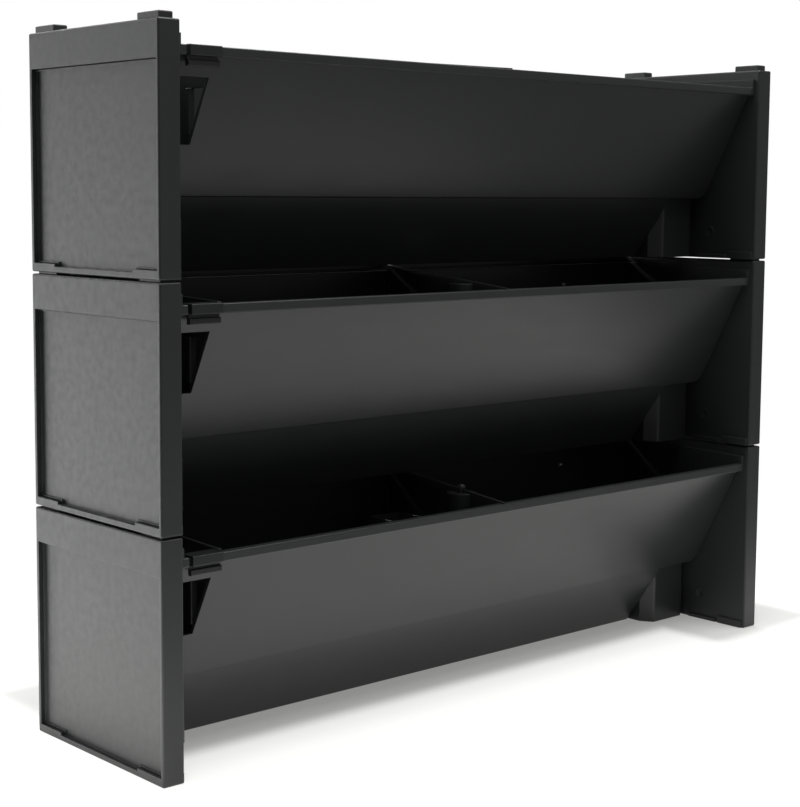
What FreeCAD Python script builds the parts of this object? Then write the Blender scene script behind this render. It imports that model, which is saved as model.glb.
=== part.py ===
import FreeCAD, Part
import os
from types import SimpleNamespace

# A living wall of three equal planting modules that stack on lugs.
# Each module is a trough carried on posts between two end panels.
# Millimetres, X to the right, Y to the back, Z up. The origin is in the middle of
# the footprint on the ground. A setback is measured backwards from the front plane.

SIZES = {
    # The whole stack
    "overall_width": 600.0,
    "overall_depth": 147.0,
    "module_pitch": 154.2,
    "seam": 1.4,
    "fit_gap": 0.3,
    # End panels
    "end_thickness": 15.6,
    "end_skin": 3.0,
    "front_wall": 2.6,
    "rear_wall": 3.4,
    "band_height": 23.0,
    "recess_depth": 3.6,
    "plate_thickness": 3.0,
    "bead_width": 1.0,
    "bead_rise": 1.0,
    "foot_wall": 3.0,
    "tab_height": 5.7,
    "tab_wall": 2.6,
    "lip_height": 3.9,
    "lip_thickness": 2.0,
    "ledge_width": 5.0,
    "strip_depth": 1.5,
    "strip_height": 2.9,
    "strip_length": 28.0,
    "edge_radius": 1.2,
    # Stacking lugs
    "lug_width": 10.0,
    "lug_length": 22.0,
    "lug_height": 4.5,
    "lug_inset": 4.0,
    "lug_side_inset": 3.0,
    "lug_edge_radius": 0.9,
    # Trough
    "trough_wall": 3.0,
    "rim_drop": 14.0,
    "rim_setback": 4.0,
    "rim_height": 6.0,
    "rim_plate": 2.8,
    "rim_edge_radius": 0.9,
    "rim_stub": 6.9,
    "fascia_top_setback": 6.5,
    "fascia_foot_setback": 52.0,
    "fascia_corner": 9.0,
    "fascia_edge_radius": 1.2,
    "shoulder_height": 49.0,
    "shoulder_width": 43.4,
    "pocket_shoulder_width": 35.0,
    "skirt_top_setback": 54.0,
    "skirt_foot_setback": 82.0,
    "tub_draft": 10.0,
    "tub_clearance": 0.5,
    "rear_space": 12.5,
    "back_rise": 8.7,
    "end_rise": 6.4,
    "clip_notch_setback": 26.0,
    "guide_depth": 4.0,
    "guide_thickness": 2.0,
    # Pipe pocket at the left end
    "pocket_width": 33.4,
    "window_sill": 81.0,
    "window_head": 121.0,
    "window_margin": 1.7,
    "notch_foot": 87.0,
    "notch_height": 28.5,
    "notch_setback": 36.5,
    "notch_lip_width": 3.0,
    "notch_lip_rise": 2.0,
    "notch_lip_radius": 0.8,
    "clip_width": 23.2,
    "clip_rise": 0.4,
    "clip_proud": 0.5,
    "clip_cap_height": 6.4,
    "clip_edge_radius": 0.6,
    "clip_groove": 2.4,
    "clip_groove_depth": 1.7,
    "clip_ridge_height": 3.8,
    "clip_ridge_setback": 1.8,
    "clip_hook": 2.2,
    "clip_hook_drop": 6.6,
    # Plates that part the soil
    "divider_thickness": 2.5,
    "divider_rise": 13.0,
    "divider_toe": 1.0,
    "tongue_height": 0.8,
    "partition_rise": 5.2,
    "grip_radius": 10.5,
    "grip_setback": 50.0,
    "grip_rise": 2.3,
    "grip_height": 51.5,
    # Overflow
    "well_width": 31.0,
    "well_depth": 29.0,
    "well_wall": 2.2,
    "well_top": 118.0,
    "well_offset": 4.0,
    "well_setback": 84.5,
    "weep_height": 16.0,
    "weep_width": 5.0,
    "pipe_radius": 8.0,
    "pipe_bore_radius": 5.5,
    "pipe_top": 40.0,
    "pipe_flange_radius": 11.0,
    "pipe_flange": 2.5,
    # Posts that carry the trough
    "post_wall": 3.0,
    "post_setback": 61.0,
    "post_face_width": 42.9,
    "post_groove_width": 6.9,
    "post_groove_depth": 5.0,
    "post_bevel_width": 6.5,
    "post_bevel_depth": 10.3,
    "post_edge_radius": 3.0,
    # Rear rail
    "rail_wall": 3.0,
    "rail_height": 44.0,
    "rail_drop": 0.8,
    "rail_boss_radius": 8.0,
    "fixing_radius": 3.2,
    "fixing_spacing": 400.0,
    # Screws
    "screw_radius": 2.0,
    "screw_length": 9.5,
    "screw_head_radius": 4.0,
    "screw_head": 2.2,
    "screw_play": 0.1,
    "boss_radius": 4.5,
    "boss_length": 5.0,
    "post_screw_height": 25.0,
    "trough_screw_height": 66.0,
    "screw_spacing": 32.0,
}

MODULES = ("bottom", "middle", "top")
SIDES = {"left": -1, "right": 1}

doc = FreeCAD.newDocument("living_wall")
sheet = doc.addObject("Spreadsheet::Sheet", "sizes")
for row, (alias, amount) in enumerate(SIZES.items(), start=1):
    sheet.set(f"A{row}", alias)
    sheet.set(f"B{row}", str(amount))
    sheet.setAlias(f"B{row}", alias)
doc.recompute()


class Size:
    """A length worked out from the sheet: an expression's text, and its value now."""

    def __init__(self, text, value):
        self.text = text
        self.value = value

    def __add__(self, other):
        return Size(f"({self.text} + {sized(other).text})", self.value + sized(other).value)

    def __sub__(self, other):
        return Size(f"({self.text} - {sized(other).text})", self.value - sized(other).value)

    def __mul__(self, other):
        return Size(f"({self.text} * {sized(other).text})", self.value * sized(other).value)

    def __truediv__(self, other):
        return Size(f"({self.text} / {sized(other).text})", self.value / sized(other).value)

    def __neg__(self):
        return Size(f"(0 - {self.text})", -self.value)


def sized(value):
    """A Size as it is, or a plain number as a Size."""
    return value if isinstance(value, Size) else Size(str(value), value)


s = SimpleNamespace(**{alias: Size(f"sizes.{alias}", amount) for alias, amount in SIZES.items()})
ground = sized(0)

# Cutting shapes run this far past the faces that they open.
past = s.trough_wall

# Planes that several pieces share
half = s.overall_width / 2
inner = half - s.end_thickness
skin_face = inner + s.end_skin
plate_face = half - s.recess_depth
plate_back = plate_face - s.plate_thickness
front = -s.overall_depth / 2
rear = s.overall_depth / 2
height = s.module_pitch - s.seam
rim_top = height - s.rim_drop
rim_foot = rim_top - s.rim_height
rim_front = front + s.rim_setback
trough_end = inner - s.fit_gap
trough_back = rear - s.rear_space
back_inside = trough_back - s.trough_wall
shoulder_floor = s.shoulder_height + s.trough_wall
tub_floor = s.tub_clearance + s.trough_wall
tub_ends = {-1: inner - s.pocket_shoulder_width, 1: inner - s.shoulder_width}
tab_reach = s.lug_inset + s.lug_length + s.tab_wall
pocket_side = s.pocket_width - inner
stub_end = s.rim_stub - trough_end
post_front = front + s.post_setback
rail_top = height - s.rail_drop
rail_middle = rail_top - s.rail_height / 2
well_middle = (-s.well_offset - s.well_width / 2, front + s.well_setback + s.well_depth / 2)


def fascia(level):
    """The Y of the fascia's outer face at a height."""
    lean = (s.fascia_foot_setback - s.fascia_top_setback) / (rim_top - s.shoulder_height)
    return front + s.fascia_top_setback + lean * (rim_top - level)


def fascia_inside(level):
    """The Y of the fascia's inner face at a height."""
    return fascia(level) + s.trough_wall


def skirt(level):
    """The Y of the skirt's outer face at a height."""
    lean = (s.skirt_foot_setback - s.skirt_top_setback) / s.shoulder_height
    return front + s.skirt_top_setback + lean * (s.shoulder_height - level)


def tub_side(side, level):
    """The X of the tub's outer end face at a height, on either side."""
    draft = s.tub_draft * (s.shoulder_height - level) / s.shoulder_height
    return (tub_ends[side] - draft) * side


# Solids tied to the sheet

def bind(thing, **sizes):
    """Tie properties of an object to expressions."""
    for name, value in sizes.items():
        thing.setExpression(name.replace("__", "."), sized(value).text)


def block(name, x, y, z):
    """A box between pairs of planes."""
    box = doc.addObject("Part::Box", name)
    bind(box, Length=x[1] - x[0], Width=y[1] - y[0], Height=z[1] - z[0])
    bind(box, Placement__Base__x=x[0], Placement__Base__y=y[0], Placement__Base__z=z[0])
    return box


def wedge(name, first, last, run, turn):
    """A block that tapers along its own Y, from one (x0, x1, z0, z1) to another."""
    solid = doc.addObject("Part::Wedge", name)
    bind(solid, Xmin=first[0], Xmax=first[1], Zmin=first[2], Zmax=first[3], Ymin=run[0])
    bind(solid, X2min=last[0], X2max=last[1], Z2min=last[2], Z2max=last[3], Ymax=run[1])
    solid.Placement = FreeCAD.Placement(FreeCAD.Vector(), turn)
    return solid


def taper_up(name, low, high, z):
    """A block whose (x0, x1, y0, y1) changes from low to high."""
    turn = FreeCAD.Rotation(FreeCAD.Vector(1, 0, 0), 90)
    first = (low[0], low[1], -low[3], -low[2])
    last = (high[0], high[1], -high[3], -high[2])
    return wedge(name, first, last, z, turn)


def taper_back(name, near, far, y):
    """A block whose (x0, x1, z0, z1) changes from near to far."""
    return wedge(name, near, far, y, FreeCAD.Rotation())


def taper_right(name, left, right, x):
    """A block whose (y0, y1, z0, z1) changes from left to right."""
    turn = FreeCAD.Rotation(FreeCAD.Vector(0, 0, 1), -90)
    first = (-left[1], -left[0], left[2], left[3])
    last = (-right[1], -right[0], right[2], right[3])
    return wedge(name, first, last, x, turn)


def rod(name, radius, start, length, axis="Z"):
    """A cylinder that begins at start and runs along X, Y or Z."""
    turns = {
        "X": FreeCAD.Rotation(FreeCAD.Vector(0, 1, 0), 90),
        "Y": FreeCAD.Rotation(FreeCAD.Vector(1, 0, 0), -90),
        "Z": FreeCAD.Rotation(),
    }
    cylinder = doc.addObject("Part::Cylinder", name)
    cylinder.Placement = FreeCAD.Placement(FreeCAD.Vector(), turns[axis])
    bind(cylinder, Radius=radius, Height=length)
    bind(cylinder, Placement__Base__x=start[0], Placement__Base__y=start[1], Placement__Base__z=start[2])
    return cylinder


def fuse(name, pieces):
    """Several solids joined."""
    joined = doc.addObject("Part::MultiFuse", name)
    joined.Shapes = pieces
    joined.Refine = True
    return joined


def cut(name, base, tools):
    """A solid with other solids taken out of it."""
    left = doc.addObject("Part::Cut", name)
    left.Base = base
    left.Tool = tools[0] if len(tools) == 1 else fuse(name + "_tools", tools)
    left.Refine = True
    return left


def rounded(name, base, radius, wanted):
    """A solid with the edges rounded whose corners wanted(low, high) picks."""
    doc.recompute()
    picked = []
    for index, edge in enumerate(base.Shape.Edges, start=1):
        box = edge.BoundBox
        low = (box.XMin, box.YMin, box.ZMin)
        high = (box.XMax, box.YMax, box.ZMax)
        if wanted(low, high):
            picked.append((index, radius, radius))
    if not picked:
        raise RuntimeError(f"{name} has no edge to round")
    fillet = doc.addObject("Part::Fillet", name)
    fillet.Base = base
    fillet.Edges = picked
    return fillet


def lies_on(*planes):
    """A test for edges in every one of the (axis letter, place) planes."""
    tolerance = 0.01
    places = [("XYZ".index(axis), place.value) for axis, place in planes]

    def wanted(low, high):
        return all(abs(end[axis] - place) < tolerance for end in (low, high) for axis, place in places)

    return wanted


def any_of(*tests):
    """A test for edges that pass at least one test."""
    return lambda low, high: any(test(low, high) for test in tests)


def on_side(side, x):
    """A pair of X planes given for the right side, on either side."""
    return x if side > 0 else (-x[1], -x[0])


# Places of the lugs and the screws

def lug_runs():
    """The Y ranges of the front and the rear lug."""
    first = front + s.lug_inset
    last = rear - s.lug_inset
    return {"front": (first, first + s.lug_length), "rear": (last - s.lug_length, last)}


def screw_pair(level):
    """The (Y, Z) places of two screws at a height, over the middle of a post."""
    middle = (post_front + trough_back) / 2
    return [(middle - s.screw_spacing / 2, level), (middle + s.screw_spacing / 2, level)]


def post_screws():
    """The (Y, Z) places of the screws into a post."""
    return screw_pair(s.post_screw_height)


def trough_screws():
    """The (Y, Z) places of the screws into an end of the trough."""
    return screw_pair(s.trough_screw_height)


def cross_rods(name, side, places, radius, x):
    """Rods along X between two planes at several places."""
    low, high = on_side(side, x)
    rods = []
    for index, (y, z) in enumerate(places):
        rods.append(rod(f"{name}_{index}", radius, (low, y, z), high - low, "X"))
    return rods


# End panels

def end_panel(name, side):
    """A tray open on its outer face, with a flush band, lugs on top and sockets below."""

    def wall(label, x, y, z):
        return block(f"{name}_{label}", on_side(side, x), y, z)

    whole = (front, rear)
    tall = (ground, height)
    front_inside = front + s.front_wall
    rear_inside = rear - s.rear_wall
    band_foot = height - s.band_height
    third = (rear_inside - front_inside) / 3
    across = (inner, half)
    behind_plate = (inner, plate_back)
    strips = (inner - s.strip_depth, skin_face)
    strip_start = front + tab_reach
    case = fuse(f"{name}_case", [
        wall("skin", (inner, skin_face), whole, tall),
        wall("front", across, (front, front_inside), tall),
        wall("rear", across, (rear_inside, rear), tall),
        wall("roof", across, whole, (height - s.end_skin, height)),
        wall("band", (half - s.end_skin, half), whole, (band_foot, height)),
        wall("sill", (plate_face, half), whole, (band_foot, band_foot + s.end_skin)),
        wall("foot", across, whole, (ground, s.foot_wall)),
        wall("lip", (half - s.lip_thickness, half), whole, (ground, s.lip_height)),
        wall("front_tab", across, (front, front + tab_reach), (ground, s.tab_height)),
        wall("rear_tab", across, (rear - tab_reach, rear), (ground, s.tab_height)),
        wall("front_ledge", behind_plate, (front, front_inside + s.ledge_width), tall),
        wall("rear_ledge", behind_plate, (rear_inside - s.ledge_width, rear), tall),
        wall("near_rib", behind_plate, (front_inside + third, front_inside + third + s.end_skin), tall),
        wall("far_rib", behind_plate, (rear_inside - third - s.end_skin, rear_inside - third), tall),
        wall("inner_tab", strips, (front_inside, strip_start - s.tab_wall), (ground, s.tab_height)),
        wall("inner_strip", strips, (strip_start, strip_start + s.strip_length), (ground, s.strip_height)),
    ])
    outside = ("X", half * side)
    inside = ("X", inner * side)
    top = ("Z", height)
    softened = rounded(f"{name}_softened", case, SIZES["edge_radius"], any_of(
        lies_on(outside, ("Y", front)),
        lies_on(outside, ("Y", rear)),
        lies_on(inside, ("Y", front)),
        lies_on(outside, top),
        lies_on(inside, top),
        lies_on(("Y", front), top),
        lies_on(("Y", rear), top),
        lies_on(outside, ("Z", ground)),
        lies_on(("Y", front), ("Z", ground)),
        lies_on(("Y", rear), ("Z", ground)),
    ))
    lug_x = (half - s.lug_side_inset - s.lug_width, half - s.lug_side_inset)
    lug_top = height + s.lug_height
    lugs = []
    openings = []
    for end, run in lug_runs().items():
        lug = wall(f"{end}_lug_block", lug_x, run, (height - s.end_skin, lug_top))
        lugs.append(rounded(f"{name}_{end}_lug", lug, SIZES["lug_edge_radius"], lies_on(("Z", lug_top))))
        socket_x = (lug_x[0] - s.fit_gap, lug_x[1] + s.fit_gap)
        socket_y = (run[0] - s.fit_gap, run[1] + s.fit_gap)
        openings.append(wall(f"{end}_socket", socket_x, socket_y, (-past, s.lug_height - s.seam)))
    openings += cross_rods(f"{name}_hole", side, post_screws() + trough_screws(),
                           s.screw_radius + s.screw_play * 2, (inner - past, skin_face + s.fit_gap))
    return cut(f"{name}_piece", fuse(f"{name}_lugged", [softened] + lugs), openings)


def end_plate(name, side):
    """The plate sunk into the outer face of an end panel, with a raised bead round its edge."""

    def sheet(label, x, inset):
        """A sheet of the plate's outline, set in all round, with notches for the panel's tabs."""
        gap = s.fit_gap + inset
        z = (s.foot_wall + inset, height - s.band_height - gap)
        notch_z = (ground, s.tab_height + gap)
        y = (front + s.front_wall + gap, rear - s.rear_wall - gap)
        body = block(f"{name}_{label}_block", on_side(side, x), y, z)
        beyond = on_side(side, (x[0] - past, x[1] + past))
        return cut(f"{name}_{label}", body, [
            block(f"{name}_{label}_front_notch", beyond, (front, front + tab_reach + gap), notch_z),
            block(f"{name}_{label}_rear_notch", beyond, (rear - tab_reach - gap, rear), notch_z),
        ])

    bead_top = plate_face + s.bead_rise
    whole = sheet("whole", (plate_back, bead_top), sized(0))
    field = sheet("field", (plate_face, bead_top + past), s.bead_width)
    return cut(f"{name}_piece", whole, [field])


# Trough

def hopper(name, reach, front_face, back, z, corner):
    """A block with the fascia's lean and rounded lower end corners."""
    low = (-reach, reach, front_face(z[0]), back)
    high = (-reach, reach, front_face(z[1]), back)
    body = taper_up(f"{name}_block", low, high, z)
    return rounded(name, body, corner, any_of(
        lies_on(("X", reach), ("Z", z[0])),
        lies_on(("X", -reach), ("Z", z[0])),
    ))


def soft_fascia(name, body):
    """A hopper with the free edges of its fascia rounded."""
    foot = s.shoulder_height
    return rounded(name, body, SIZES["fascia_edge_radius"], lies_on(("Y", fascia(foot)), ("Z", foot)))


def tub(name, inset, z):
    """The drafted block under the hopper, drawn in by inset."""
    back = trough_back - inset
    low = (tub_side(-1, z[0]) + inset, tub_side(1, z[0]) - inset, skirt(z[0]) + inset, back)
    high = (tub_side(-1, z[1]) + inset, tub_side(1, z[1]) - inset, skirt(z[1]) + inset, back)
    return taper_up(name, low, high, z)


def rim(name, x):
    """A stretch of the flange along the front edge, with a lip turned down."""
    profile = fuse(f"{name}_profile", [
        block(f"{name}_flange", x, (rim_front, fascia_inside(rim_top)), (rim_top - s.rim_plate, rim_top)),
        block(f"{name}_lip", x, (rim_front, rim_front + s.rim_plate), (rim_foot, rim_top)),
    ])
    return rounded(name, profile, SIZES["rim_edge_radius"], any_of(
        lies_on(("Y", rim_front), ("Z", rim_top)),
        lies_on(("Y", rim_front), ("Z", rim_foot)),
    ))


def guide_ribs(name, plate_x, foot):
    """The pair of ribs on the back wall that hold a plate upright."""
    beside = {
        "left": (plate_x[0] - s.fit_gap - s.guide_thickness, plate_x[0] - s.fit_gap),
        "right": (plate_x[1] + s.fit_gap, plate_x[1] + s.fit_gap + s.guide_thickness),
    }
    y = (back_inside - s.guide_depth, trough_back)
    return [block(f"{name}_{side}", x, y, (foot, rim_top)) for side, x in beside.items()]


def divider_x():
    """The X planes of the middle divider."""
    return (-s.divider_thickness / 2, s.divider_thickness / 2)


def partition_x():
    """The X planes of the partition beside the pipe pocket."""
    return (pocket_side, pocket_side + s.divider_thickness)


def trough(name):
    """The moulded trough: hopper, tub, rim, raised back and ends, guides and bosses."""
    wall = s.trough_wall
    inside_end = trough_end - wall
    corner = SIZES["fascia_corner"]
    body = hopper(f"{name}_hopper", trough_end, fascia, trough_back, (s.shoulder_height, rim_top), corner)
    keel = tub(f"{name}_tub", ground, (s.tub_clearance, shoulder_floor))
    outer = [
        soft_fascia(f"{name}_fascia", body),
        rounded(f"{name}_keel", keel, SIZES["fascia_edge_radius"], lies_on(("Z", s.tub_clearance))),
    ]
    hollow = [
        hopper(f"{name}_hopper_hollow", inside_end, fascia_inside, back_inside,
               (shoulder_floor, rim_top + past), corner - SIZES["trough_wall"]),
        tub(f"{name}_tub_hollow", wall, (tub_floor, shoulder_floor)),
    ]
    shell = cut(f"{name}_shell", fuse(f"{name}_outer", outer), hollow)
    back_top = rim_top + s.back_rise
    back_y = (back_inside, trough_back)
    back = block(f"{name}_back_block", (-trough_end, trough_end), back_y, (rim_foot, back_top))
    back_edge = lies_on(("Y", back_inside), ("Z", back_top))
    raised = [
        rim(f"{name}_rim", (pocket_side, trough_end)),
        rim(f"{name}_stub", (-trough_end, stub_end)),
        rounded(f"{name}_back", back, SIZES["rim_edge_radius"], back_edge),
    ]
    bosses = []
    holes = []
    for label, side in SIDES.items():
        x = on_side(side, (inside_end, trough_end))
        raised.append(taper_back(f"{name}_{label}_rise", x + (rim_foot, rim_top + s.end_rise),
                                 x + (rim_foot, back_top), (rim_front, trough_back)))
        bosses += cross_rods(f"{name}_{label}_boss", side, trough_screws(), s.boss_radius,
                             (trough_end - wall - s.boss_length, trough_end))
        holes += cross_rods(f"{name}_{label}_hole", side, trough_screws(), s.screw_radius + s.screw_play,
                            (skin_face - s.screw_length - s.fit_gap, inner))
        fixing = (s.fixing_spacing / 2 * side, back_inside - past, rail_middle)
        holes.append(rod(f"{name}_{label}_fixing", s.fixing_radius, fixing, wall + past * 2, "Y"))
    guides = guide_ribs(f"{name}_divider_guide", divider_x(), tub_floor)
    guides += guide_ribs(f"{name}_partition_guide", partition_x(), shoulder_floor)
    window_x = (-inside_end, pocket_side - s.window_margin)
    window_y = (front, fascia_inside(s.window_sill))
    notch_x = (stub_end, pocket_side)
    lip_x = (pocket_side - s.notch_lip_rise - s.fit_gap, pocket_side)
    lip_front = front + s.notch_setback - s.fit_gap
    lip_y = (lip_front, lip_front + s.notch_lip_width + s.fit_gap * 2)
    holes += [
        block(f"{name}_window", window_x, window_y, (s.window_sill, s.window_head)),
        block(f"{name}_lip_room", lip_x, lip_y, (s.notch_foot, s.notch_foot + s.notch_height)),
        block(f"{name}_clip_notch", notch_x, (front, front + s.clip_notch_setback), (rim_foot, height)),
        rod(f"{name}_drain", s.pipe_radius + s.fit_gap, well_middle + (-past,), tub_floor + past * 2),
    ]
    return cut(f"{name}_piece", fuse(f"{name}_body", [shell] + raised + bosses + guides), holes)


# Plates and fittings in the trough

def upright(name, x, foot, top_front, rise):
    """A plate that fills the hopper from foot to the rim, with a top edge that climbs backwards."""
    gap = s.fit_gap
    back = back_inside - gap
    low = x + (fascia_inside(foot) + gap, back)
    high = x + (fascia_inside(rim_top) + gap, back)
    return [
        taper_up(f"{name}_web", low, high, (foot, rim_top)),
        taper_back(f"{name}_crest", x + (rim_top, rim_top + s.tongue_height), x + (rim_top, rim_top + rise),
                   (top_front, back)),
    ]


def divider(name):
    """The middle divider, down to the tub's floor, with a round grip and a toe over the rim."""
    x = divider_x()
    web_foot = shoulder_floor + s.fit_gap
    inset = s.trough_wall + s.fit_gap
    low = x + (skirt(tub_floor) + inset, back_inside - s.fit_gap)
    high = x + (skirt(web_foot) + inset, back_inside - s.fit_gap)
    grip_foot = rim_top + s.grip_rise - s.grip_height
    grip_start = (ground, front + s.grip_setback, grip_foot)
    body = fuse(f"{name}_body", upright(name, x, web_foot, rim_front + s.divider_toe, s.divider_rise) + [
        taper_up(f"{name}_root", low, high, (tub_floor, web_foot)),
        rod(f"{name}_grip", s.grip_radius, grip_start, s.grip_height),
    ])
    room_x = (x[0] - past, x[1] + past)
    room_low = room_x + (front, fascia_inside(s.shoulder_height) + s.fit_gap)
    room_high = room_x + (front, fascia_inside(web_foot) + s.fit_gap)
    fascia_room = taper_up(f"{name}_fascia_room", room_low, room_high, (s.shoulder_height, web_foot))
    return cut(f"{name}_piece", body, [fascia_room])


def partition(name):
    """The plate that closes the soil off from the pipe pocket, with a lipped notch beside the fascia."""
    x = partition_x()
    notch_y = (front, front + s.notch_setback)
    notch_z = (s.notch_foot, s.notch_foot + s.notch_height)
    plate = upright(name, x, shoulder_floor, fascia_inside(rim_top) + s.fit_gap, s.partition_rise)
    notch = block(f"{name}_notch", (x[0] - past, x[1] + past), notch_y, notch_z)
    lip_x = (x[0] - s.notch_lip_rise, x[0])
    lip_y = (notch_y[1], notch_y[1] + s.notch_lip_width)
    lip_block = block(f"{name}_lip_block", lip_x, lip_y, notch_z)
    lip_edge = lies_on(("X", lip_x[0]), ("Y", lip_y[0]))
    lip = rounded(f"{name}_lip", lip_block, SIZES["notch_lip_radius"], lip_edge)
    return fuse(f"{name}_piece", [cut(f"{name}_plate", fuse(f"{name}_sheet", plate), [notch]), lip])


def rim_clip(name):
    """The clip that sits over the fascia's top edge beside the pocket, with two ridges in front."""
    end = pocket_side - s.fit_gap
    x = (end - s.clip_width, end)
    cap_front = rim_front - s.clip_proud
    cap_top = rim_top + s.clip_rise
    cap_foot = cap_top - s.clip_cap_height
    ridge_front = rim_front + s.clip_ridge_setback
    ridge_top = cap_foot - s.clip_groove
    ridge_foot = ridge_top - s.clip_ridge_height
    neck_front = ridge_front + s.clip_groove_depth
    neck_back = fascia(rim_foot) - s.fit_gap
    hook_front = fascia_inside(rim_foot) + s.fit_gap
    hook_back = hook_front + s.clip_hook
    hook_foot = rim_foot - s.clip_hook_drop
    hook_low = fascia_inside(hook_foot) + s.fit_gap
    saddle = fuse(f"{name}_saddle", [
        block(f"{name}_cap", x, (cap_front, neck_back), (cap_foot, cap_top)),
        block(f"{name}_seat", x, (neck_front, hook_back), (rim_foot, cap_top)),
        block(f"{name}_neck", x, (neck_front, neck_back), (ridge_foot, cap_top)),
        block(f"{name}_ridge", x, (ridge_front, neck_back), (ridge_foot, ridge_top)),
        taper_up(f"{name}_hook", x + (hook_low, hook_low + s.clip_hook),
                 x + (hook_front, hook_back), (hook_foot, rim_foot)),
    ])
    return rounded(f"{name}_piece", saddle, SIZES["clip_edge_radius"], any_of(
        lies_on(("Y", cap_front), ("Z", cap_top)),
        lies_on(("Y", cap_front), ("Z", cap_foot)),
        lies_on(("Y", ridge_front), ("Z", ridge_top)),
        lies_on(("Y", ridge_front), ("Z", ridge_foot)),
    ))


def overflow_well(name):
    """The square duct beside the divider that keeps soil away from the overflow."""
    right = -s.well_offset
    left = right - s.well_width
    near = front + s.well_setback
    far = near + s.well_depth
    wall = s.well_wall
    slot_y = (well_middle[1] - s.weep_width / 2, well_middle[1] + s.weep_width / 2)
    bore_x = (left + wall, right - wall)
    bore_y = (near + wall, far - wall)
    duct = block(f"{name}_duct", (left, right), (near, far), (tub_floor, s.well_top))
    return cut(f"{name}_piece", duct, [
        block(f"{name}_bore", bore_x, bore_y, (ground, s.well_top + past)),
        block(f"{name}_weep", (left - past, right + past), slot_y, (ground, tub_floor + s.weep_height)),
    ])


def overflow_pipe(name):
    """The standpipe that lets surplus water through the floor, with its flange."""
    foot = s.tub_clearance
    tube = fuse(f"{name}_tube", [
        rod(f"{name}_stem", s.pipe_radius, well_middle + (foot,), s.pipe_top - foot),
        rod(f"{name}_flange", s.pipe_flange_radius, well_middle + (tub_floor,), s.pipe_flange),
    ])
    bore = rod(f"{name}_bore", s.pipe_bore_radius, well_middle + (foot - past,), s.pipe_top + past * 2)
    return cut(f"{name}_piece", tube, [bore])


# What carries the trough

def post(name, side):
    """A hollow post beside an end panel, with a bevelled front, cut to clear the tub."""
    face = inner - s.post_face_width
    groove = inner - s.post_groove_width
    bevel = face - s.post_bevel_width
    near = post_front
    z = (s.tub_clearance, s.shoulder_height)
    groove_near = near + s.post_groove_depth
    bevel_near = (near, trough_back) + z
    bevel_far = (near + s.post_bevel_depth, trough_back) + z
    ends = (bevel_far, bevel_near) if side > 0 else (bevel_near, bevel_far)
    column = fuse(f"{name}_column", [
        block(f"{name}_face", on_side(side, (face, groove)), (near, trough_back), z),
        block(f"{name}_groove", on_side(side, (groove, inner)), (groove_near, trough_back), z),
        taper_right(f"{name}_bevel", ends[0], ends[1], on_side(side, (bevel, face))),
    ])
    softened = rounded(f"{name}_softened", column, SIZES["post_edge_radius"],
                       lies_on(("X", face * side), ("Y", near)))
    wall = s.post_wall
    cavity_x = on_side(side, (tub_ends[side] + s.fit_gap + wall, inner - wall))
    cavity_y = (groove_near + wall, trough_back - wall)
    tools = [
        tub(f"{name}_tub_room", -s.fit_gap, (-past, s.shoulder_height + past)),
        block(f"{name}_cavity", cavity_x, cavity_y, (-past, s.shoulder_height - wall)),
    ]
    tools += cross_rods(f"{name}_hole", side, post_screws(), s.screw_radius + s.screw_play,
                        (inner - wall - past, inner + past))
    return cut(f"{name}_piece", softened, tools)


def rear_rail(name):
    """The channel behind the trough that takes the wall fixings."""
    x = (-trough_end, trough_end)
    near = trough_back + s.fit_gap
    wall = s.rail_wall
    foot = rail_top - s.rail_height
    pieces = [
        block(f"{name}_web", x, (rear - wall, rear), (foot, rail_top)),
        block(f"{name}_top", x, (near, rear), (rail_top - wall, rail_top)),
        block(f"{name}_bottom", x, (near, rear), (foot, foot + wall)),
    ]
    holes = []
    for label, side in SIDES.items():
        place = s.fixing_spacing / 2 * side
        pieces.append(rod(f"{name}_{label}_boss", s.rail_boss_radius, (place, trough_back, rail_middle),
                          s.rear_space, "Y"))
        holes.append(rod(f"{name}_{label}_hole", s.fixing_radius, (place, trough_back - past, rail_middle),
                         s.rear_space + past * 2, "Y"))
    return cut(f"{name}_piece", fuse(f"{name}_channel", pieces), holes)


def end_screws(name):
    """The screws that hold the posts and the trough to both end panels."""
    rods = []
    places = post_screws() + trough_screws()
    for label, side in SIDES.items():
        rods += cross_rods(f"{name}_{label}_shank", side, places, s.screw_radius,
                           (skin_face - s.screw_length, skin_face + s.screw_head))
        rods += cross_rods(f"{name}_{label}_head", side, places, s.screw_head_radius,
                           (skin_face, skin_face + s.screw_head))
    return fuse(f"{name}_piece", rods)


# Modules

SCREWS_PER_MODULE = len(SIDES) * len(post_screws() + trough_screws())
SIDED = {"end_panel": end_panel, "end_plate": end_plate, "post": post}
SINGLE = {
    "trough": trough,
    "divider": divider,
    "pocket_partition": partition,
    "rim_clip": rim_clip,
    "overflow_well": overflow_well,
    "overflow_pipe": overflow_pipe,
    "rear_rail": rear_rail,
    "end_screws": end_screws,
}

pieces = []


def keep(piece, label, level):
    """Name a finished piece and lift it to its module's level."""
    piece.Label = label
    bind(piece, Placement__Base__z=s.module_pitch * level)
    pieces.append(piece)


for level, module in enumerate(MODULES):
    for kind, make in SINGLE.items():
        label = f"{module}_{kind}"
        keep(make("p_" + label), label, level)
    for kind, make in SIDED.items():
        for side_name, side in SIDES.items():
            label = f"{module}_{side_name}_{kind}"
            keep(make("p_" + label, side), label, level)

doc.recompute()
for thing in doc.Objects:
    if "Invalid" in thing.State or "Error" in thing.State:
        raise RuntimeError(f"{thing.Name} failed to build: {thing.State}")

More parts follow.
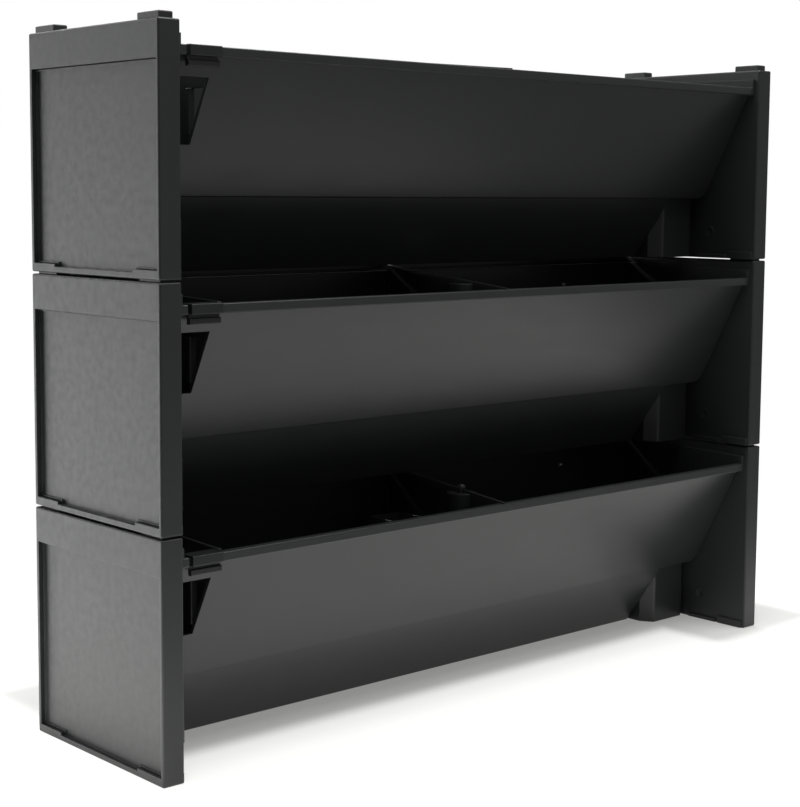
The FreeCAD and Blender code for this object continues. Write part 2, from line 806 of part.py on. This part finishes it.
os.makedirs("parts", exist_ok=True)
for piece in pieces:
    shape = piece.Shape
    wanted = SCREWS_PER_MODULE if piece.Label.endswith("end_screws") else 1
    if shape.isNull() or not shape.isValid() or len(shape.Solids) != wanted:
        raise RuntimeError(f"{piece.Label} is not {wanted} sound solid(s): {len(shape.Solids)}")
    shape.exportStep(f"parts/{piece.Label}.step")
    print(f"{piece.Label}: {shape.Volume / 1000:.1f} cm3")
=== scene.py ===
import math

import bpy
from bpy.props import FloatProperty, FloatVectorProperty, PointerProperty
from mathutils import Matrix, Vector


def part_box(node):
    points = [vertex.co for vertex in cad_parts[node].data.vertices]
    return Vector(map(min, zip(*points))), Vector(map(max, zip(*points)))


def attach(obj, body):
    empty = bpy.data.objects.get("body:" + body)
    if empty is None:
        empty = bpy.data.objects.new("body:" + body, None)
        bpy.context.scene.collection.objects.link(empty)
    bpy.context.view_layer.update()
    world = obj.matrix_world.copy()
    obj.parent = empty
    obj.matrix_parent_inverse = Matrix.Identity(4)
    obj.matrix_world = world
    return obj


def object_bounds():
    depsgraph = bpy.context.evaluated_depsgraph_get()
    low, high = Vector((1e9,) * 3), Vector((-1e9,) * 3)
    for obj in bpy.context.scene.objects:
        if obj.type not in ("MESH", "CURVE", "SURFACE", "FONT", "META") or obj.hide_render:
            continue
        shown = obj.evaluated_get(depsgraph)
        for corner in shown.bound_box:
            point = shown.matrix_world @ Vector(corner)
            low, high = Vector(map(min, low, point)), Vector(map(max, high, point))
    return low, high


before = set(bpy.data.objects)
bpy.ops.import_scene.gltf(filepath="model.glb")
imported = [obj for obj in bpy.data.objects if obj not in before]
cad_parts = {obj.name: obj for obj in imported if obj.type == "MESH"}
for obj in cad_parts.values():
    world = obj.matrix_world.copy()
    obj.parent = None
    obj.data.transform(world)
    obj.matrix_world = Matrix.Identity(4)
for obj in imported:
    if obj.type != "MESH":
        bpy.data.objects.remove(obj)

bl_info = {
    "name": "Living Wall Finish",
    "version": (1, 0, 0),
    "blender": (4, 5, 0),
    "location": "View3D > Sidebar > Living Wall",
    "description": "Finishes a stack of moulded planting modules and stands it in a plain studio",
    "category": "Object",
}

CAD_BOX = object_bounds()
MODULES = ("bottom", "middle", "top")
MM = 0.001

# Planes and sizes of the solids that the added pieces sit on
FIT_GAP = 0.3 * MM
FRONT = CAD_BOX[0].y
INNER_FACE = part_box("bottom_trough")[1].x + FIT_GAP
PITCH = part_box("middle_trough")[0].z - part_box("bottom_trough")[0].z
DIVIDER_THICKNESS = 2.5 * MM

# A face looks along an axis where its normal's share of that axis is over this
FACING = 0.9
SMOOTH_ANGLE = math.radians(35)

# Materials that the added pieces share with the solids
PANEL_PLASTIC = "black_polypropylene_panel"
INSERT_PLASTIC = "black_polypropylene_insert"

# Floor and softboxes of the studio, in metres
FLOOR_REACH = 1.2
FLOOR_DROP = 0.2 * MM
OVERHEAD_BOX = {"place": (0.0, -0.1, 1.6), "aim": (0.0, 0.0, 0.0), "size": (1.8, 1.4)}
BACK_BOX = {"place": (0.0, 0.9, 0.85), "aim": (0.0, 0.0, 0.25), "size": (1.6, 0.1)}


# Settings

def linear(colour):
    """An sRGB hex colour, such as #242526, as linear RGBA."""
    channels = [int(colour[place:place + 2], 16) / 255 for place in (1, 3, 5)]
    light = [c / 12.92 if c <= 0.04045 else ((c + 0.055) / 1.055) ** 2.4 for c in channels]
    return (*light, 1.0)


def colour_property(name, description, colour):
    """A colour that a user can change, given as sRGB hex."""
    return FloatVectorProperty(name=name, description=description, subtype="COLOR", size=4,
                               min=0.0, max=1.0, default=linear(colour))


def amount_property(name, description, amount, **settings):
    """A number, nought or more, that a user can change."""
    return FloatProperty(name=name, description=description, min=0.0, default=amount, **settings)


def length_property(name, description, millimetres):
    """A length that a user can change, given in millimetres."""
    return amount_property(name, description, millimetres * MM, unit="LENGTH")


def vector_property(name, description, vector, subtype):
    """A place, a direction or the like that a user can change."""
    return FloatVectorProperty(name=name, description=description, subtype=subtype, default=vector)


class FinishSettings(bpy.types.PropertyGroup):
    """Colours and patterns of the moulded plastics and the plated steel."""

    trough: colour_property("Trough", "Black of the troughs, posts and rails", "#2B2C2D")
    panel: colour_property("End panel", "Black of the end panels and their plates", "#262728")
    insert: colour_property("Insert", "Black of the loose plates and clips", "#1F2021")
    overflow: colour_property("Overflow", "Dark grey of the overflow wells and pipes", "#454648")
    # The edge grey is partly wear from rubbing and partly a painted highlight on the edges.
    wear_and_edge_highlight: colour_property("Worn edge", "Grey that rubbed edges turn to", "#4A4B4D")
    zinc: colour_property("Zinc", "Plating of the screws", "#B4B7BA")
    grain: length_property("Grain", "Width of a pit of the mould's grain, drawn coarse", 1.3)
    sink: length_property("Sink", "Length of the slow waves that shrinkage leaves", 95.0)
    sink_depth: length_property("Sink depth", "Depth of those waves", 0.3)
    scuff: length_property("Scuff", "Length of the faint rub marks from handling", 42.0)
    edge: length_property("Edge", "Radius that the moulded edges catch light on", 0.7)
    spangle: length_property("Spangle", "Width of a patch of the zinc's mottle", 1.5)


class DetailSettings(bpy.types.PropertyGroup):
    """Sizes of the small moulded details."""

    mark_radius: length_property("Mark radius", "Radius of an ejector pin's mark", 4.8)
    mark_rise: length_property("Mark rise", "Height of a mark's rim over the panel", 0.3)
    mark_setback: length_property("Mark setback", "From the front plane to a mark's middle", 46.0)
    mark_height: length_property("Mark height", "From a module's foot to a mark's middle", 21.5)
    peg_radius: length_property("Peg radius", "Radius of the peg on the bottom divider", 3.2)
    peg_setback: length_property("Peg setback", "From the front plane to the peg's middle", 50.0)
    peg_foot: length_property("Peg foot", "Height of the peg's foot, on the divider's grip", 141.1)
    peg_top: length_property("Peg top", "Height of the peg's top", 147.4)


class StageSettings(bpy.types.PropertyGroup):
    """The floor, the light and the camera."""

    opal: colour_property("Floor", "Opal sheet under the stack", "#C8C8C6")
    cloud: length_property("Cloud", "Width of the faint clouds in the sheet", 60.0)
    floor_near: length_property("Floor near", "From the footprint to where the sheet starts to fade",
                                120.0)
    floor_far: length_property("Floor far", "From the footprint to where the sheet has faded away",
                               370.0)
    # The sheet's glow is painted light: its dim parts are painted shadow, its left glow a painted pool
    # of light.
    floor_glow: amount_property("Floor glow", "Light that the opal sheet gives off", 1.0)
    left_glow: amount_property("Left glow", "More light from the sheet, left of the stack", 3.2)
    left_start: length_property("Left start", "From the middle to where the left light starts", 280.0)
    left_full: length_property("Left full", "From the middle to where the left light is full", 360.0)
    shade: vector_property("Shade", "The middle of the dim part under the stack",
                           (0.03, 0.07, 0.0), "TRANSLATION")
    shade_reach: vector_property("Shade reach", "Half lengths of that dim part",
                                 (0.30, 0.088, 0.0), "XYZ")
    corner: vector_property("Corner", "The middle of the dim corner by the right end panel",
                            (0.30, -0.03, 0.0), "TRANSLATION")
    corner_reach: vector_property("Corner reach", "Half lengths of the dim corner",
                                  (0.055, 0.045, 0.0), "XYZ")
    shade_edge: length_property("Shade edge", "Width of the dim parts' soft edge", 24.0)
    shade_glow: amount_property("Shade glow", "Share of the light left in the dim parts", 0.40,
                                max=1.0)
    room_glow: amount_property("Room glow", "Light from the dark room all round", 0.14)
    front_glow: amount_property("Front glow", "Light from the pale wall in front on the right", 0.25)
    front: vector_property("Front", "The way to the middle of the pale wall",
                           (0.71, -0.70, 0.0), "DIRECTION")
    sweep_glow: amount_property("Sweep glow", "Light from the white sweep behind on the left", 3.7)
    sweep: vector_property("Sweep", "The way to the middle of the white sweep",
                           (-0.45, 0.87, -0.20), "DIRECTION")
    sweep_core: amount_property("Sweep core", "Half the angle that is fully bright",
                                math.radians(10), subtype="ANGLE")
    sweep_edge: amount_property("Sweep edge", "Half the angle where the sweep has faded away",
                                math.radians(26), subtype="ANGLE")
    overhead: amount_property("Overhead", "Power of the soft light overhead", 40.0, unit="POWER")
    strip: amount_property("Strip", "Power of the narrow light behind and above", 6.0, unit="POWER")
    lens: amount_property("Lens", "Focal length, on Blender's own width of sensor", 74.59,
                          unit="CAMERA")
    place: vector_property("Place", "The camera's place", (-0.8583, -0.8911, 0.3598), "TRANSLATION")
    turn: vector_property("Turn", "The camera's turn",
                          [math.radians(angle) for angle in (84.1383, -0.3280, -41.5726)], "EULER")
    shift: FloatVectorProperty(name="Shift", description="The camera's shift, as a share of the frame",
                               size=2, default=(0.0335, -0.0469))


# Materials

def add(tree, kind, inputs=None, **settings):
    """Add a node with its settings, and set or link its inputs by name or number."""
    made = tree.nodes.new(kind)
    for key, value in settings.items():
        setattr(made, key, value)
    for key, value in (inputs or {}).items():
        if isinstance(value, bpy.types.NodeSocket):
            tree.links.new(value, made.inputs[key])
        else:
            made.inputs[key].default_value = value
    return made


def new_material(name):
    """An empty material and its node tree."""
    material = bpy.data.materials.new(name)
    material.use_nodes = True
    material.node_tree.nodes.clear()
    return material, material.node_tree


def moulded_plastic(name, colour, smooth, rough, grain_depth):
    """Black or grey polypropylene from a spark-eroded mould, between two roughnesses."""
    # To the eye it is a satin skin: soft reflections that waver a little, paler edges that are
    # partly wear from rubbing and partly a painted highlight, and faint rub marks. The real grain
    # is about 0.2 mm, and is drawn coarser so that it shows.
    finish = bpy.context.scene.wall_finish
    polypropylene_ior = 1.49
    sink_strength, grain_strength = 0.5, 0.4
    # Most of the noise lies in these spans.
    patch_low, patch_high = 0.3, 0.7
    scuff_low, scuff_high = 0.35, 0.65
    tint_swing = 0.06
    # An edge starts and is full at these cosines of the rounded normal with the face's own.
    edge_start, edge_full = 0.985, 0.80
    # Share of the edge grey on the edges: partly wear, partly a painted highlight.
    edge_wear_and_highlight = 0.55

    material, tree = new_material(name)
    place = add(tree, "ShaderNodeTexCoord").outputs["Object"]
    facing = add(tree, "ShaderNodeNewGeometry").outputs["Normal"]
    edge = add(tree, "ShaderNodeBevel", {"Radius": finish.edge}, samples=6).outputs["Normal"]
    sink = add(tree, "ShaderNodeTexNoise", {
        "Vector": place, "Scale": 1 / finish.sink, "Detail": 1.0}).outputs["Fac"]
    grain = add(tree, "ShaderNodeTexNoise", {
        "Vector": place, "Scale": 1 / finish.grain, "Detail": 2.0}).outputs["Fac"]
    patch = add(tree, "ShaderNodeTexNoise", {
        "Vector": place, "Scale": 1 / finish.scuff, "Detail": 3.0}).outputs["Fac"]
    # Rub marks run along the troughs and are far longer than they are wide.
    stretch = 8
    along = add(tree, "ShaderNodeMapping", {"Vector": place, "Scale": (1 / stretch, 1.0, 1.0)})
    scuff = add(tree, "ShaderNodeTexNoise", {
        "Vector": along.outputs["Vector"], "Scale": stretch / finish.scuff,
        "Detail": 4.0}).outputs["Fac"]

    # Where the rounded normal leaves the face's own, the surface is an edge.
    level = add(tree, "ShaderNodeVectorMath", {0: edge, 1: facing}, operation="DOT_PRODUCT")
    bent = add(tree, "ShaderNodeMapRange", {
        "Value": level.outputs["Value"], "From Min": edge_start, "From Max": edge_full,
        "To Max": edge_wear_and_highlight}).outputs["Result"]
    rubbed_and_highlit = add(tree, "ShaderNodeMath", {0: bent, 1: patch}, operation="MULTIPLY").outputs["Value"]

    tint = add(tree, "ShaderNodeMapRange", {
        "Value": patch, "From Min": patch_low, "From Max": patch_high,
        "To Min": 1 - tint_swing, "To Max": 1 + tint_swing}).outputs["Result"]
    skin = add(tree, "ShaderNodeVectorMath", {0: colour[:3], "Scale": tint}, operation="SCALE")
    # Edges turn to the paler grey: wear from rubbing and a painted highlight where edges catch light.
    # A Mix node's colours are its inputs 6 and 7, and their mix is its output 2.
    wear_and_edge_highlight = add(tree, "ShaderNodeMix", {
        0: rubbed_and_highlit, 6: skin.outputs["Vector"], 7: finish.wear_and_edge_highlight}, data_type="RGBA").outputs[2]
    gloss = add(tree, "ShaderNodeMapRange", {
        "Value": scuff, "From Min": scuff_low, "From Max": scuff_high,
        "To Min": smooth, "To Max": rough}).outputs["Result"]
    waved = add(tree, "ShaderNodeBump", {
        "Height": sink, "Normal": edge, "Strength": sink_strength,
        "Distance": finish.sink_depth}).outputs["Normal"]
    grained = add(tree, "ShaderNodeBump", {
        "Height": grain, "Normal": waved, "Strength": grain_strength,
        "Distance": grain_depth}).outputs["Normal"]
    shader = add(tree, "ShaderNodeBsdfPrincipled", {
        "Base Color": wear_and_edge_highlight, "Roughness": gloss, "Normal": grained,
        "IOR": polypropylene_ior}).outputs["BSDF"]
    add(tree, "ShaderNodeOutputMaterial", {"Surface": shader})
    return material


def zinc_plated_steel():
    """Bright zinc on steel screws with rolled threads and pressed heads."""
    # To the eye it is a soft grey gloss with a faint mottle.
    finish = bpy.context.scene.wall_finish
    darkest, brightest = 0.8, 1.1
    smooth, rough = 0.25, 0.45
    material, tree = new_material("zinc_plated_steel")
    place = add(tree, "ShaderNodeTexCoord").outputs["Object"]
    spangle = add(tree, "ShaderNodeTexNoise", {
        "Vector": place, "Scale": 1 / finish.spangle, "Detail": 2.0}).outputs["Fac"]
    tint = add(tree, "ShaderNodeMapRange", {
        "Value": spangle, "To Min": darkest, "To Max": brightest}).outputs["Result"]
    plating = add(tree, "ShaderNodeVectorMath", {
        0: finish.zinc[:3], "Scale": tint}, operation="SCALE").outputs["Vector"]
    gloss = add(tree, "ShaderNodeMapRange", {
        "Value": spangle, "To Min": smooth, "To Max": rough}).outputs["Result"]
    shader = add(tree, "ShaderNodeBsdfPrincipled", {
        "Base Color": plating, "Roughness": gloss, "Metallic": 1.0}).outputs["BSDF"]
    add(tree, "ShaderNodeOutputMaterial", {"Surface": shader})
    return material


def distance_from(tree, place, middle, reach):
    """Nought inside a flat rectangle, and the distance from it outside."""
    away = add(tree, "ShaderNodeVectorMath", {0: place, 1: middle}, operation="SUBTRACT")
    quarter = add(tree, "ShaderNodeVectorMath", {0: away.outputs["Vector"]}, operation="ABSOLUTE")
    beyond = add(tree, "ShaderNodeVectorMath", {
        0: quarter.outputs["Vector"], 1: reach}, operation="SUBTRACT")
    outside = add(tree, "ShaderNodeVectorMath", {
        0: beyond.outputs["Vector"], 1: (0.0, 0.0, 0.0)}, operation="MAXIMUM")
    return add(tree, "ShaderNodeVectorMath", {
        0: outside.outputs["Vector"]}, operation="LENGTH").outputs["Value"]


def lit_opal():
    """Opal acrylic sheet, cast smooth, whose glow is painted light."""
    # To the eye it is an even white that fades out with the distance from the stack. Its glow is
    # painted light off the floor: dimmer under the stack and by the right end panel as painted
    # shadow, and brighter left of the stack as a painted pool of light.
    stage = bpy.context.scene.wall_stage
    tint_swing = 0.02
    material, tree = new_material("opal_acrylic_sheet")
    place = add(tree, "ShaderNodeTexCoord").outputs["Object"]
    cloud = add(tree, "ShaderNodeTexNoise", {
        "Vector": place, "Scale": 1 / stage.cloud, "Detail": 2.0}).outputs["Fac"]
    tint = add(tree, "ShaderNodeMapRange", {
        "Value": cloud, "To Min": 1 - tint_swing, "To Max": 1 + tint_swing}).outputs["Result"]
    white = add(tree, "ShaderNodeVectorMath", {
        0: stage.opal[:3], "Scale": tint}, operation="SCALE").outputs["Vector"]
    sheet = add(tree, "ShaderNodeBsdfDiffuse", {"Color": white}).outputs["BSDF"]
    # Painted shadow: the glow is dimmed under the stack and by the right end panel.
    shaded = add(tree, "ShaderNodeMath", {
        0: distance_from(tree, place, stage.shade, stage.shade_reach),
        1: distance_from(tree, place, stage.corner, stage.corner_reach)},
        operation="MINIMUM").outputs["Value"]
    glow = add(tree, "ShaderNodeMapRange", {
        "Value": shaded, "From Max": stage.shade_edge,
        "To Min": stage.floor_glow * stage.shade_glow, "To Max": stage.floor_glow},
        interpolation_type="SMOOTHSTEP").outputs["Result"]
    # Painted pool of light: more glow left of the stack.
    across = add(tree, "ShaderNodeSeparateXYZ", {"Vector": place}).outputs["X"]
    left = add(tree, "ShaderNodeMapRange", {
        "Value": across, "From Min": -stage.left_start, "From Max": -stage.left_full,
        "To Max": stage.left_glow}, interpolation_type="SMOOTHSTEP").outputs["Result"]
    both = add(tree, "ShaderNodeMath", {0: glow, 1: left}, operation="ADD").outputs["Value"]
    lamp = add(tree, "ShaderNodeEmission", {"Color": white, "Strength": both}).outputs["Emission"]
    lit = add(tree, "ShaderNodeAddShader", {0: sheet, 1: lamp}).outputs["Shader"]
    footprint = (CAD_BOX[1].x, CAD_BOX[1].y, 0.0)
    gone = add(tree, "ShaderNodeMapRange", {
        "Value": distance_from(tree, place, (0.0, 0.0, 0.0), footprint),
        "From Min": stage.floor_near, "From Max": stage.floor_far},
        interpolation_type="SMOOTHSTEP").outputs["Result"]
    clear = add(tree, "ShaderNodeBsdfTransparent").outputs["BSDF"]
    mixed = add(tree, "ShaderNodeMixShader", {0: gone, 1: lit, 2: clear}).outputs["Shader"]
    add(tree, "ShaderNodeOutputMaterial", {"Surface": mixed})
    return material


def dress(kinds, material):
    """Give the CAD nodes of some kinds a material."""
    dressed = [node for name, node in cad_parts.items() if name.endswith(kinds)]
    if not dressed:
        raise RuntimeError(f"no node is of the kinds {kinds}")
    for node in dressed:
        node.data.materials.clear()
        node.data.materials.append(material)


# Modelling helpers

def start(primitive, **settings):
    """Add a primitive with nothing else selected, and put its place into its mesh."""
    bpy.ops.object.select_all(action="DESELECT")
    primitive(**settings)
    bpy.ops.object.transform_apply(location=True, rotation=True, scale=True)
    return bpy.context.active_object


def edit(piece, wanted, *steps):
    """Select the faces that wanted(face) picks, and run edit-mode steps on them."""
    for part in (*piece.data.vertices, *piece.data.edges, *piece.data.polygons):
        part.select = False
    picked = [face for face in piece.data.polygons if wanted(face)]
    if not picked:
        raise RuntimeError(f"{piece.name} has no such face")
    for face in picked:
        face.select = True
    bpy.ops.object.mode_set(mode="EDIT")
    bpy.ops.mesh.select_mode(type="FACE")
    for step, settings in steps:
        step(**settings)
    bpy.ops.object.mode_set(mode="OBJECT")


def choose(piece):
    """Make a piece the only one selected, and the active one."""
    bpy.ops.object.select_all(action="DESELECT")
    piece.select_set(True)
    bpy.context.view_layer.objects.active = piece


def copy_piece(piece, shift):
    """A copy of a piece, with its own mesh, moved by a shift."""
    choose(piece)
    bpy.ops.object.duplicate()
    bpy.ops.transform.translate(value=shift)
    bpy.ops.object.transform_apply(location=True, rotation=True, scale=True)
    return bpy.context.active_object


def discard(piece):
    """Delete a pattern or a cutter, which goes with its mesh."""
    bpy.data.meshes.remove(piece.data)


def finish_piece(piece, name, material, body):
    """Name a piece, smooth it, and tie it to its material and body."""
    piece.name = name
    piece.data.name = name
    piece.data.materials.clear()
    piece.data.materials.append(bpy.data.materials[material])
    choose(piece)
    bpy.ops.object.shade_smooth_by_angle(angle=SMOOTH_ANGLE)
    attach(piece, body)


# Pieces

class LIVINGWALL_OT_troughs(bpy.types.Operator):
    """Finish the troughs, the posts that carry them and the rails behind them"""

    bl_idname = "livingwall.troughs"
    bl_label = "Finish troughs"

    def execute(self, context):
        material = moulded_plastic("black_polypropylene_trough", context.scene.wall_finish.trough,
                                   smooth=0.31, rough=0.34, grain_depth=0.05 * MM)
        dress(("_trough", "_post", "_rear_rail"), material)
        return {"FINISHED"}


class LIVINGWALL_OT_end_panels(bpy.types.Operator):
    """Finish the end panels and the plates sunk into them"""

    bl_idname = "livingwall.end_panels"
    bl_label = "Finish end panels"

    def execute(self, context):
        material = moulded_plastic(PANEL_PLASTIC, context.scene.wall_finish.panel,
                                   smooth=0.42, rough=0.48, grain_depth=0.07 * MM)
        dress(("_end_panel", "_end_plate"), material)
        return {"FINISHED"}


class LIVINGWALL_OT_inserts(bpy.types.Operator):
    """Finish the dividers, partitions and clips in the troughs"""

    bl_idname = "livingwall.inserts"
    bl_label = "Finish inserts"

    def execute(self, context):
        material = moulded_plastic(INSERT_PLASTIC, context.scene.wall_finish.insert,
                                   smooth=0.32, rough=0.40, grain_depth=0.04 * MM)
        dress(("_divider", "_pocket_partition", "_rim_clip"), material)
        return {"FINISHED"}


class LIVINGWALL_OT_overflows(bpy.types.Operator):
    """Finish the overflow wells and the pipes that stand in them"""

    bl_idname = "livingwall.overflows"
    bl_label = "Finish overflows"

    def execute(self, context):
        material = moulded_plastic("grey_polypropylene_overflow", context.scene.wall_finish.overflow,
                                   smooth=0.28, rough=0.36, grain_depth=0.03 * MM)
        dress(("_overflow_well", "_overflow_pipe"), material)
        return {"FINISHED"}


class LIVINGWALL_OT_screws(bpy.types.Operator):
    """Finish the screws behind the end plates"""

    bl_idname = "livingwall.screws"
    bl_label = "Finish screws"

    def execute(self, context):
        dress(("_end_screws",), zinc_plated_steel())
        return {"FINISHED"}


class LIVINGWALL_OT_ejector_marks(bpy.types.Operator):
    """Model the round marks that ejector pins leave on the end panels' inner faces"""

    bl_idname = "livingwall.ejector_marks"
    bl_label = "Model ejector marks"

    def execute(self, context):
        detail = context.scene.wall_detail
        radius = detail.mark_radius
        rise = detail.mark_rise
        sides = 48
        # The bevel and the dish are shares of the rise, and the rim is a share of the radius.
        bevel_share, rim_share, dish_share = 0.6, 0.18, 0.5
        middle = Vector((rise / 2 - INNER_FACE, FRONT + detail.mark_setback, detail.mark_height))
        mark = start(bpy.ops.mesh.primitive_cylinder_add, vertices=sides, radius=radius,
                     depth=rise, location=middle, rotation=(0.0, math.radians(90), 0.0))
        # The mark is a low dish: its rim is bevelled and its middle is pressed in.
        edit(mark, lambda face: face.normal.x > FACING,
             (bpy.ops.mesh.bevel, {"offset": rise * bevel_share, "segments": 3, "affect": "EDGES"}))
        edit(mark, lambda face: face.normal.x > FACING and len(face.vertices) == sides,
             (bpy.ops.mesh.inset, {"thickness": radius * rim_share}),
             (bpy.ops.transform.translate, {"value": (rise * -dish_share, 0.0, 0.0)}))
        for level, module in enumerate(MODULES):
            up = (0.0, 0.0, PITCH * level)
            left = copy_piece(mark, up)
            right = copy_piece(mark, up)
            bpy.ops.transform.rotate(value=math.pi, orient_axis="Z",
                                     center_override=(0.0, middle.y, 0.0))
            bpy.ops.object.transform_apply(location=True, rotation=True, scale=True)
            for label, piece in (("left", left), ("right", right)):
                finish_piece(piece, f"{module}_{label}_ejector_mark", PANEL_PLASTIC,
                             f"{module}_module")
        discard(mark)
        return {"FINISHED"}


class LIVINGWALL_OT_divider_peg(bpy.types.Operator):
    """Model the round-topped peg that straddles the bottom divider's edge, over its grip"""

    bl_idname = "livingwall.divider_peg"
    bl_label = "Model divider peg"

    def execute(self, context):
        detail = context.scene.wall_detail
        radius = detail.peg_radius
        y = FRONT + detail.peg_setback
        tall = detail.peg_top - detail.peg_foot
        crown_share = 0.7
        peg = start(bpy.ops.mesh.primitive_cylinder_add, vertices=40, radius=radius, depth=tall,
                    location=(0.0, y, detail.peg_foot + tall / 2))
        edit(peg, lambda face: face.normal.z > FACING,
             (bpy.ops.mesh.bevel, {"offset": radius * crown_share, "segments": 6, "affect": "EDGES"}))
        # The slot for the divider ends a radius below the top, and is cut right through.
        slot_width = DIVIDER_THICKNESS + 2 * FIT_GAP
        slot_top = detail.peg_top - radius
        slot_foot = detail.peg_foot - radius
        slot_length = 3 * radius
        cutter = start(bpy.ops.mesh.primitive_cube_add, size=1.0,
                       scale=(slot_width, slot_length, slot_top - slot_foot),
                       location=(0.0, y, (slot_top + slot_foot) / 2))
        choose(peg)
        slot = peg.modifiers.new("slot", "BOOLEAN")
        slot.object = cutter
        slot.operation = "DIFFERENCE"
        bpy.ops.object.modifier_apply(modifier=slot.name)
        discard(cutter)
        finish_piece(peg, "bottom_divider_peg", INSERT_PLASTIC, "bottom_module")
        return {"FINISHED"}


class LIVINGWALL_OT_stage(bpy.types.Operator):
    """Lay the floor, light the studio and set the camera"""

    bl_idname = "livingwall.stage"
    bl_label = "Set the stage"

    def execute(self, context):
        scene = context.scene
        stage = scene.wall_stage
        scene.view_settings.view_transform = "Standard"
        self.lay_floor()
        self.light_world(scene, stage)
        self.hang_softbox(scene, "overhead_softbox", stage.overhead, **OVERHEAD_BOX)
        self.hang_softbox(scene, "back_strip", stage.strip, **BACK_BOX)
        camera = bpy.data.objects.new("camera", bpy.data.cameras.new("camera"))
        scene.collection.objects.link(camera)
        camera.location = stage.place
        camera.rotation_euler = stage.turn
        camera.data.lens = stage.lens
        camera.data.shift_x, camera.data.shift_y = stage.shift
        scene.camera = camera
        return {"FINISHED"}

    def lay_floor(self):
        """A round opal sheet under the stack."""
        floor = start(bpy.ops.mesh.primitive_circle_add, vertices=128, radius=FLOOR_REACH,
                      fill_type="NGON", location=(0.0, 0.0, CAD_BOX[0].z - FLOOR_DROP))
        floor.name = "floor"
        floor.data.materials.append(lit_opal())

    def light_world(self, scene, stage):
        """White to the camera; for the stack, a dark room with a pale wall and a white sweep."""
        white = (1.0, 1.0, 1.0, 1.0)
        # The pale wall starts and is full at these cosines with the way to its middle.
        wall_start, wall_full = 0.2, 0.9
        world = bpy.data.worlds.new("studio")
        scene.world = world
        world.use_nodes = True
        tree = world.node_tree
        tree.nodes.clear()
        way = add(tree, "ShaderNodeTexCoord").outputs["Generated"]
        ahead = add(tree, "ShaderNodeVectorMath", {0: way, 1: stage.front}, operation="DOT_PRODUCT")
        room = add(tree, "ShaderNodeMapRange", {
            "Value": ahead.outputs["Value"], "From Min": wall_start, "From Max": wall_full,
            "To Min": stage.room_glow, "To Max": stage.front_glow},
            interpolation_type="SMOOTHSTEP").outputs["Result"]
        near = add(tree, "ShaderNodeVectorMath", {0: way, 1: stage.sweep}, operation="DOT_PRODUCT")
        sweep = add(tree, "ShaderNodeMapRange", {
            "Value": near.outputs["Value"], "From Min": math.cos(stage.sweep_edge),
            "From Max": math.cos(stage.sweep_core), "To Max": stage.sweep_glow},
            interpolation_type="SMOOTHSTEP").outputs["Result"]
        glow = add(tree, "ShaderNodeMath", {0: room, 1: sweep}, operation="ADD").outputs["Value"]
        studio = add(tree, "ShaderNodeBackground", {
            "Color": white, "Strength": glow}).outputs["Background"]
        blank = add(tree, "ShaderNodeBackground", {"Color": white}).outputs["Background"]
        seen = add(tree, "ShaderNodeLightPath").outputs["Is Camera Ray"]
        mixed = add(tree, "ShaderNodeMixShader", {0: seen, 1: studio, 2: blank}).outputs["Shader"]
        add(tree, "ShaderNodeOutputWorld", {"Surface": mixed})

    def hang_softbox(self, scene, name, power, place, aim, size):
        """A rectangular area light that points at a place."""
        lamp = bpy.data.lights.new(name, "AREA")
        lamp.shape = "RECTANGLE"
        lamp.size, lamp.size_y = size
        lamp.energy = power
        box = bpy.data.objects.new(name, lamp)
        scene.collection.objects.link(box)
        box.location = place
        box.rotation_euler = (Vector(aim) - Vector(place)).to_track_quat("-Z", "Y").to_euler()
        box.visible_camera = False


class LIVINGWALL_PT_panel(bpy.types.Panel):
    """The steps, in order, with the sizes and colours that they use"""

    bl_label = "Living Wall"
    bl_idname = "LIVINGWALL_PT_panel"
    bl_space_type = "VIEW_3D"
    bl_region_type = "UI"
    bl_category = "Living Wall"

    def draw(self, context):
        for step in STEPS:
            self.layout.operator(step.bl_idname)
        for group, settings in SETTINGS.items():
            box = self.layout.box()
            for name in settings.__annotations__:
                box.prop(getattr(context.scene, group), name)


STEPS = (
    LIVINGWALL_OT_troughs,
    LIVINGWALL_OT_end_panels,
    LIVINGWALL_OT_inserts,
    LIVINGWALL_OT_overflows,
    LIVINGWALL_OT_screws,
    LIVINGWALL_OT_ejector_marks,
    LIVINGWALL_OT_divider_peg,
    LIVINGWALL_OT_stage,
)
SETTINGS = {
    "wall_finish": FinishSettings,
    "wall_detail": DetailSettings,
    "wall_stage": StageSettings,
}


def register():
    """Register the settings, the steps and the panel."""
    for group, settings in SETTINGS.items():
        bpy.utils.register_class(settings)
        setattr(bpy.types.Scene, group, PointerProperty(type=settings))
    for step in STEPS:
        bpy.utils.register_class(step)
    bpy.utils.register_class(LIVINGWALL_PT_panel)


def unregister():
    """Take everything out again."""
    bpy.utils.unregister_class(LIVINGWALL_PT_panel)
    for step in reversed(STEPS):
        bpy.utils.unregister_class(step)
    for group, settings in reversed(SETTINGS.items()):
        delattr(bpy.types.Scene, group)
        bpy.utils.unregister_class(settings)


def main():
    """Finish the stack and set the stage."""
    register()
    bpy.ops.livingwall.troughs()
    bpy.ops.livingwall.end_panels()
    bpy.ops.livingwall.inserts()
    bpy.ops.livingwall.overflows()
    bpy.ops.livingwall.screws()
    bpy.ops.livingwall.ejector_marks()
    bpy.ops.livingwall.divider_peg()
    bpy.ops.livingwall.stage()


if __name__ == "__main__":
    main()
